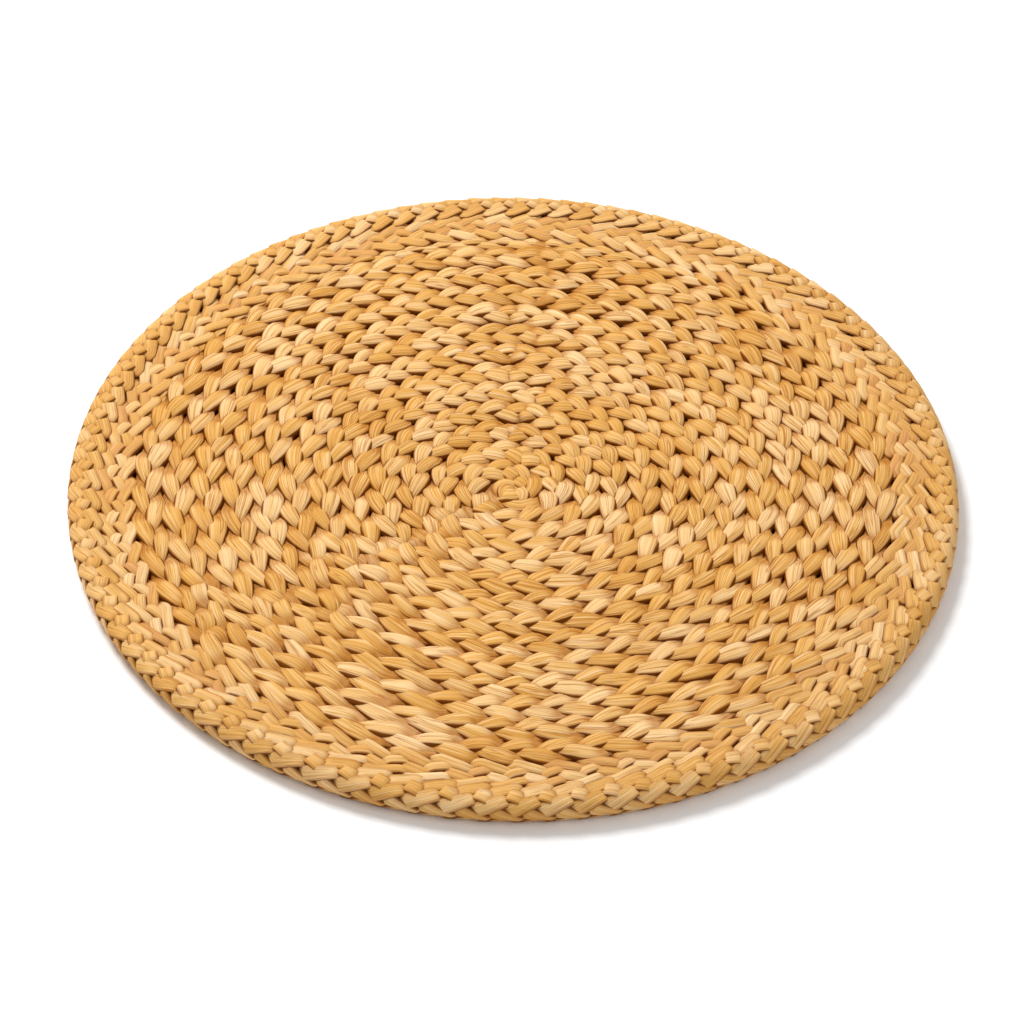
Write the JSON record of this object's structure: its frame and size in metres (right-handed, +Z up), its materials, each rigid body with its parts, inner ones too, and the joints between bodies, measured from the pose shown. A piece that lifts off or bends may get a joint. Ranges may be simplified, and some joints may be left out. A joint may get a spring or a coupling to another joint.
{
  "type": "straw placemat",
  "caption": "Round flat placemat of plaited straw, coiled from its centre and sewn, with a flat plait round it and a thicker plait folded over the rim.",
  "frame": {"origin": "middle of the flat underside", "axes": "+Z up through the mat's thickness, -Y towards the front"},
  "size_m": [0.38, 0.38, 0.013],
  "materials": {
    "field_straw": "dry plaited straw, matt",
    "border_straw": "dry flat-plaited straw, matt",
    "edge_straw": "smooth straw straps, slight sheen"
  },
  "bodies": {
    "root": {"field_coil": "field_straw", "border_plait": "border_straw", "edge_plait": "edge_straw"}
  },
  "joints": []
}
